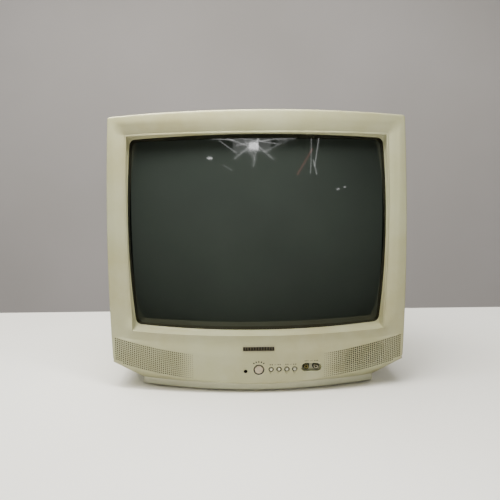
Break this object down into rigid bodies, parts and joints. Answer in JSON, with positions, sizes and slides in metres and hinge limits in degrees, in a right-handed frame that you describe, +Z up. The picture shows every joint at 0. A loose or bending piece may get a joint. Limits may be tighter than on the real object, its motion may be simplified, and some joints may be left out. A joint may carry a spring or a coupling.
{
  "type": "cathode ray tube television",
  "caption": "Table television set with a large bulged picture tube in a pale moulded cabinet, push keys, phono sockets, side grilles and a tapered rear cover.",
  "frame": {"origin": "centre of the bounding box, on the plane of the feet", "axes": "+Z up, -Y out of the screen towards the viewer, +X to the viewer's right"},
  "size_m": [0.486, 0.472, 0.4506],
  "materials": {
    "cabinet_plastic": "fine matt moulding, yellowed with age",
    "cover_plastic": "spark-eroded matt texture",
    "key_plastic": "satin moulding",
    "badge_plate": "satin",
    "dark_window": "polished",
    "screen_glass": "polished, dark tinted",
    "tube_glass": "clear",
    "funnel_coating": "matt graphite coating",
    "phosphor": "matt powder",
    "black_steel": "blackened",
    "bright_steel": "zinc plated",
    "socket_metal": "nickel plated",
    "copper_wire": "enamelled copper",
    "ferrite": "pressed and sintered",
    "aluminium": "extruded",
    "circuit_board": "phenolic laminate",
    "dark_plastic": "moulded",
    "white_plastic": "moulded",
    "sleeve_plastic": "shrink sleeve",
    "black_rubber": "soft",
    "lead_rubber": "silicone",
    "tape_wrap": "wound tape",
    "cone_paper": "pressed pulp"
  },
  "bodies": {
    "cabinet": {"front_cabinet": "cabinet_plastic", "rear_cover": "cover_plastic", "feet": "black_rubber", "badge": "badge_plate", "ir_window": "dark_window", "power_switch": "dark_plastic", "tact_switches": "dark_plastic", "control_board": "circuit_board", "ir_receiver": "dark_plastic", "standby_lamp": "lead_rubber", "jack_panel": "dark_plastic", "video_jack": "socket_metal", "audio_jack": "socket_metal", "speaker_frame": "black_steel", "speaker_cone": "cone_paper", "speaker_magnet": "ferrite", "speaker_screws": "bright_steel", "panel_glass": "screen_glass", "funnel_glass": "funnel_coating", "neck_glass": "tube_glass", "phosphor_screen": "phosphor", "shadow_mask": "black_steel", "mask_frame": "black_steel", "magnetic_shield": "black_steel", "tension_band": "bright_steel", "tube_screws": "bright_steel", "electron_gun": "bright_steel", "tube_base": "dark_plastic", "crt_socket": "dark_plastic", "neck_board": "circuit_board", "horizontal_coils": "copper_wire", "yoke_former": "white_plastic", "vertical_coils": "copper_wire", "ferrite_core": "ferrite", "yoke_clamp": "bright_steel", "yoke_wedges": "black_rubber", "convergence_rings": "dark_plastic", "degaussing_coil": "tape_wrap", "anode_cap": "black_rubber", "anode_lead": "lead_rubber", "main_board": "circuit_board", "chassis_rails": "dark_plastic", "flyback_transformer": "dark_plastic", "heatsink": "aluminium", "power_transformer": "ferrite", "filter_capacitor": "sleeve_plastic", "small_capacitors": "sleeve_plastic", "tuner": "bright_steel", "integrated_circuits": "dark_plastic", "mains_fuse": "tube_glass", "antenna_socket": "socket_metal", "rear_cover_screws": "bright_steel", "cord_bushing": "black_rubber"},
    "power_button": {"power_button": "key_plastic"},
    "volume_down_key": {"volume_down_key": "key_plastic"},
    "volume_up_key": {"volume_up_key": "key_plastic"},
    "channel_down_key": {"channel_down_key": "key_plastic"},
    "channel_up_key": {"channel_up_key": "key_plastic"},
    "focus_knob": {"focus_knob": "white_plastic"},
    "screen_knob": {"screen_knob": "white_plastic"}
  },
  "joints": [
    {"name": "power_button_press", "type": "slide", "parent": "cabinet", "child": "power_button", "axis": [0, 1, 0], "range_m": [0, 0.0035], "stiffness_N_per_m": 450},
    {"name": "volume_down_key_press", "type": "slide", "parent": "cabinet", "child": "volume_down_key", "axis": [0, 1, 0], "range_m": [0, 0.001], "stiffness_N_per_m": 900},
    {"name": "volume_up_key_press", "type": "slide", "parent": "cabinet", "child": "volume_up_key", "axis": [0, 1, 0], "range_m": [0, 0.001], "stiffness_N_per_m": 900},
    {"name": "channel_down_key_press", "type": "slide", "parent": "cabinet", "child": "channel_down_key", "axis": [0, 1, 0], "range_m": [0, 0.001], "stiffness_N_per_m": 900},
    {"name": "channel_up_key_press", "type": "slide", "parent": "cabinet", "child": "channel_up_key", "axis": [0, 1, 0], "range_m": [0, 0.001], "stiffness_N_per_m": 900},
    {"name": "focus_knob_turn", "type": "hinge", "parent": "cabinet", "child": "focus_knob", "pos_m": [0.084, 0.114, 0.082], "axis": [0, 1, 0], "range_deg": [-135, 135]},
    {"name": "screen_knob_turn", "type": "hinge", "parent": "cabinet", "child": "screen_knob", "pos_m": [0.084, 0.114, 0.056], "axis": [0, 1, 0], "range_deg": [-135, 135]}
  ]
}
